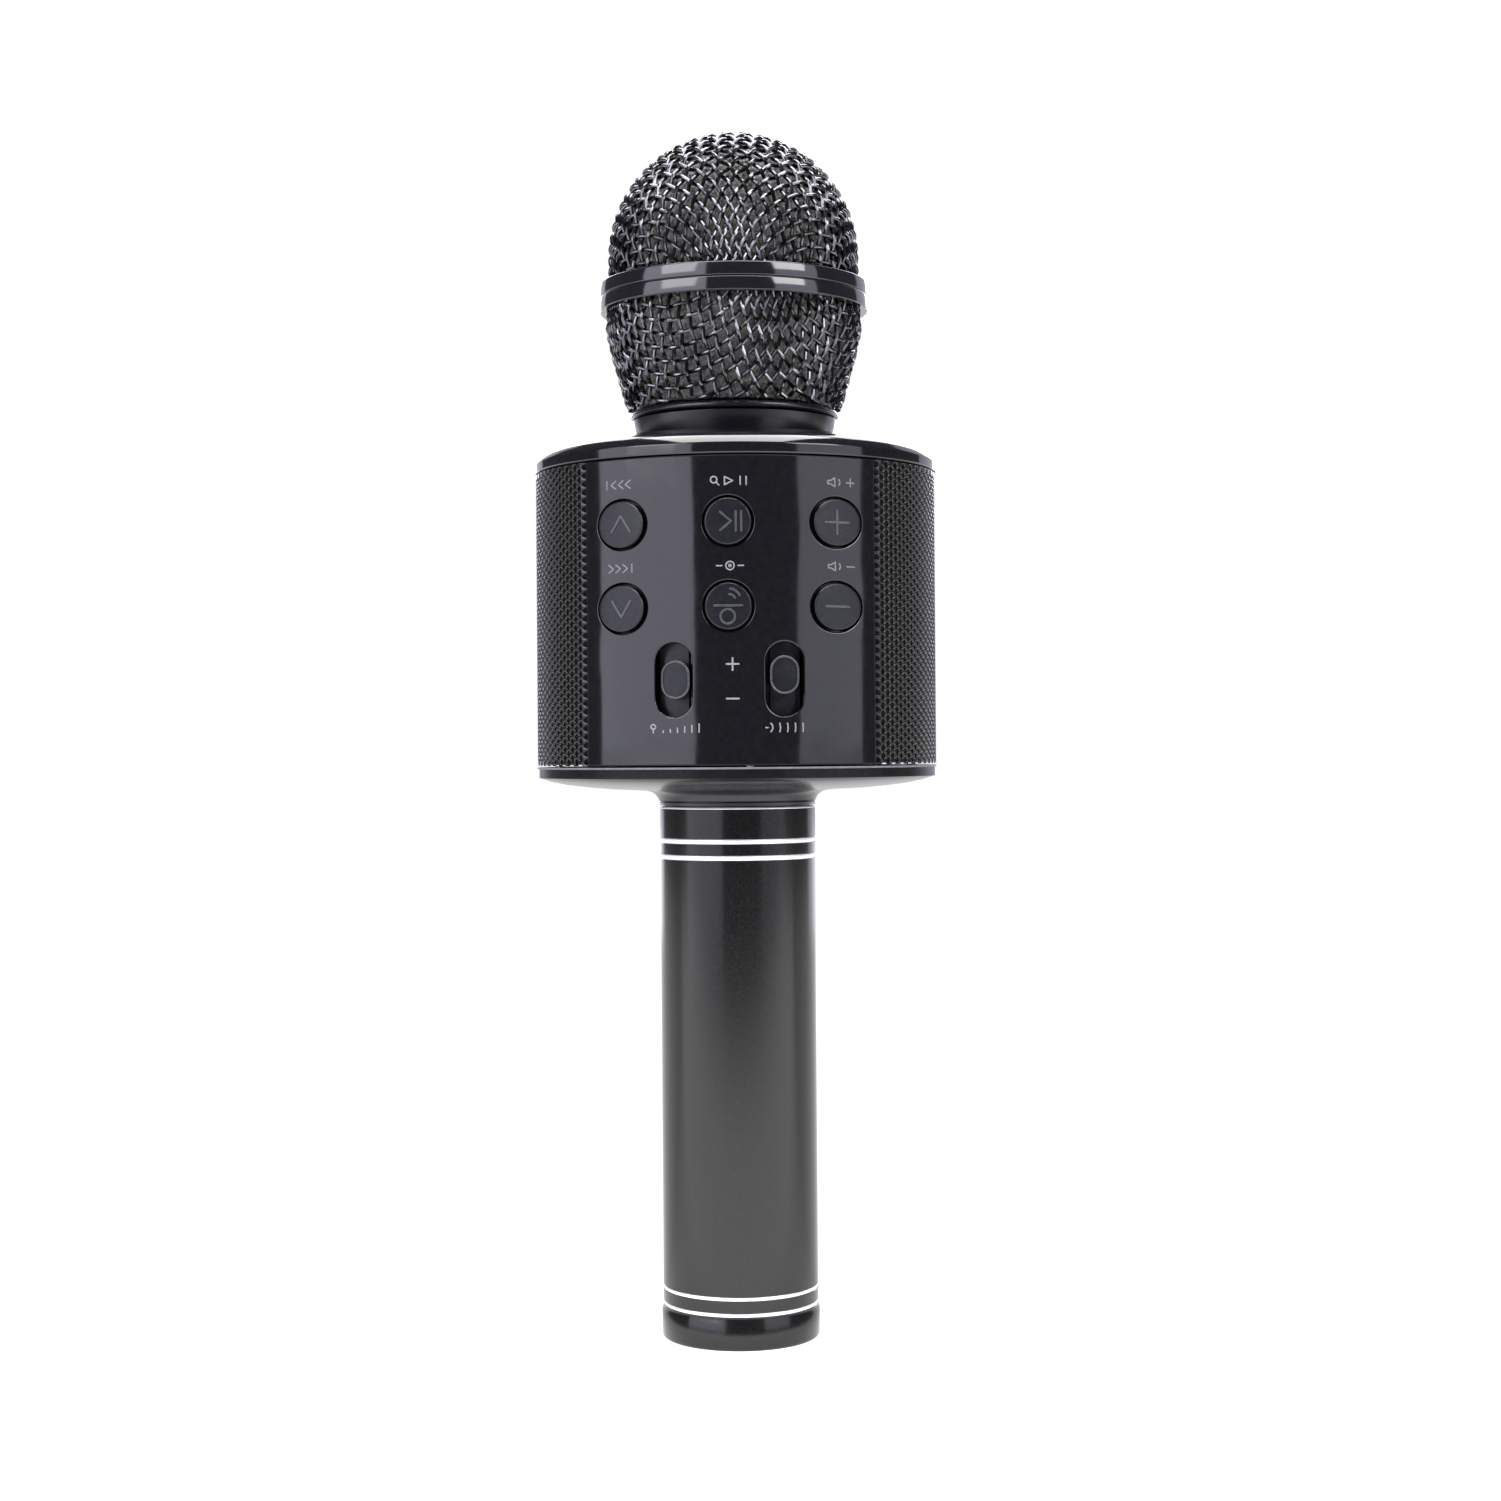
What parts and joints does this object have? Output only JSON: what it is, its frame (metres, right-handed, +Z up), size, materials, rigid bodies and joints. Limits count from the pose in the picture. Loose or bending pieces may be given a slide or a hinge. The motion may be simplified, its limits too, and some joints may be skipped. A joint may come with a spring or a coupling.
{
  "type": "karaoke microphone",
  "caption": "Wireless karaoke microphone: wire-mesh head that unscrews, round speaker housing with keys and slide controls, side speakers, and a tube handle that holds the battery.",
  "frame": {"origin": "centre of the handle's flat lower end", "axes": "+Z up the handle to the mesh head, -Y out of the control panel, +X to the right as seen from the panel side"},
  "size_m": [0.08, 0.081, 0.2407],
  "materials": {
    "gloss_black": "piano-black gloss plastic",
    "gloss_grey": "smooth dark grey keys with a fine bright edge",
    "satin_black": "satin black plastic",
    "handle_black": "satin black anodised tube with bright turned rings",
    "dark_wire": "dark plated woven wire, glossy",
    "perforated_black": "black painted perforated sheet",
    "foam": "open-cell black foam",
    "inner_plastic": "plain moulded plastic",
    "rubber": "matt black rubber",
    "circuit_green": "green circuit board",
    "plated": "plated steel",
    "magnet_grey": "dark ferrite and steel",
    "paper_black": "black paper cone",
    "copper": "copper winding",
    "cell_wrap": "plain blue shrink wrap on a steel can",
    "lens_red": "clear tinted plastic"
  },
  "bodies": {
    "housing": {"handle_tube": "handle_black", "end_cap": "satin_black", "battery_cell": "cell_wrap", "battery_holder": "inner_plastic", "battery_contact": "plated", "battery_spring": "plated", "bottom_cover": "satin_black", "top_cover": "gloss_black", "neck_collar": "satin_black", "front_panel": "gloss_black", "rear_panel": "gloss_black", "right_grille": "perforated_black", "left_grille": "perforated_black", "chassis": "inner_plastic", "chassis_screw_1": "plated", "chassis_screw_2": "plated", "chassis_screw_3": "plated", "chassis_screw_4": "plated", "slide_pot_left": "plated", "slide_pot_right": "plated", "key_board": "circuit_green", "key_pad": "rubber", "main_board": "circuit_green", "power_switch_body": "plated", "card_socket": "plated", "status_lens": "lens_red", "audio_jack": "rubber", "charging_socket": "plated", "right_speaker_frame": "inner_plastic", "right_speaker_magnet": "magnet_grey", "right_speaker_surround": "rubber", "left_speaker_frame": "inner_plastic", "left_speaker_magnet": "magnet_grey", "left_speaker_surround": "rubber", "capsule_holder": "rubber", "mic_capsule": "plated"},
    "button_previous": {"button_previous": "gloss_grey"},
    "button_play": {"button_play": "gloss_grey"},
    "button_volume_up": {"button_volume_up": "gloss_grey"},
    "button_next": {"button_next": "gloss_grey"},
    "button_record": {"button_record": "gloss_grey"},
    "button_volume_down": {"button_volume_down": "gloss_grey"},
    "slider_mic_volume": {"slider_mic_volume": "gloss_grey"},
    "slider_echo": {"slider_echo": "gloss_grey"},
    "power_switch_knob": {"power_switch_knob": "satin_black"},
    "right_cone": {"right_speaker_cone": "paper_black", "right_voice_coil": "copper"},
    "left_cone": {"left_speaker_cone": "paper_black", "left_voice_coil": "copper"},
    "head_ring": {"head_ring": "satin_black"},
    "head": {"upper_grille": "dark_wire", "lower_grille": "dark_wire", "grille_band": "gloss_black", "foam_windscreen": "foam"}
  },
  "joints": [
    {"name": "button_previous_press", "type": "slide", "parent": "housing", "child": "button_previous", "axis": [0, 1, 0], "range_m": [0, 0.00055], "stiffness_N_per_m": 600},
    {"name": "button_play_press", "type": "slide", "parent": "housing", "child": "button_play", "axis": [0, 1, 0], "range_m": [0, 0.00055], "stiffness_N_per_m": 600},
    {"name": "button_volume_up_press", "type": "slide", "parent": "housing", "child": "button_volume_up", "axis": [0, 1, 0], "range_m": [0, 0.00055], "stiffness_N_per_m": 600},
    {"name": "button_next_press", "type": "slide", "parent": "housing", "child": "button_next", "axis": [0, 1, 0], "range_m": [0, 0.00055], "stiffness_N_per_m": 600},
    {"name": "button_record_press", "type": "slide", "parent": "housing", "child": "button_record", "axis": [0, 1, 0], "range_m": [0, 0.00055], "stiffness_N_per_m": 600},
    {"name": "button_volume_down_press", "type": "slide", "parent": "housing", "child": "button_volume_down", "axis": [0, 1, 0], "range_m": [0, 0.00055], "stiffness_N_per_m": 600},
    {"name": "mic_volume_slide", "type": "slide", "parent": "housing", "child": "slider_mic_volume", "axis": [0, 0, 1], "range_m": [-0.0032, 0.0032]},
    {"name": "echo_slide", "type": "slide", "parent": "housing", "child": "slider_echo", "axis": [0, 0, 1], "range_m": [-0.004, 0.0024]},
    {"name": "power_switch_slide", "type": "slide", "parent": "housing", "child": "power_switch_knob", "axis": [0, 0, 1], "range_m": [0, 0.0036]},
    {"name": "right_cone_travel", "type": "slide", "parent": "housing", "child": "right_cone", "axis": [1, 0, 0], "range_m": [-0.0005, 0.0005], "stiffness_N_per_m": 800},
    {"name": "left_cone_travel", "type": "slide", "parent": "housing", "child": "left_cone", "axis": [-1, 0, 0], "range_m": [-0.0005, 0.0005], "stiffness_N_per_m": 800},
    {"name": "head_rise", "type": "slide", "parent": "housing", "child": "head_ring", "axis": [0, 0, 1], "range_m": [0, 0.00375]},
    {"name": "head_unscrew", "type": "hinge", "parent": "head_ring", "child": "head", "pos_m": [0, 0, 0.2], "axis": [0, 0, 1], "range_deg": [0, 900]}
  ],
  "couplings": [
    {"joint": "head_unscrew", "follows": "head_rise", "rad_per_m": 4188.8}
  ]
}
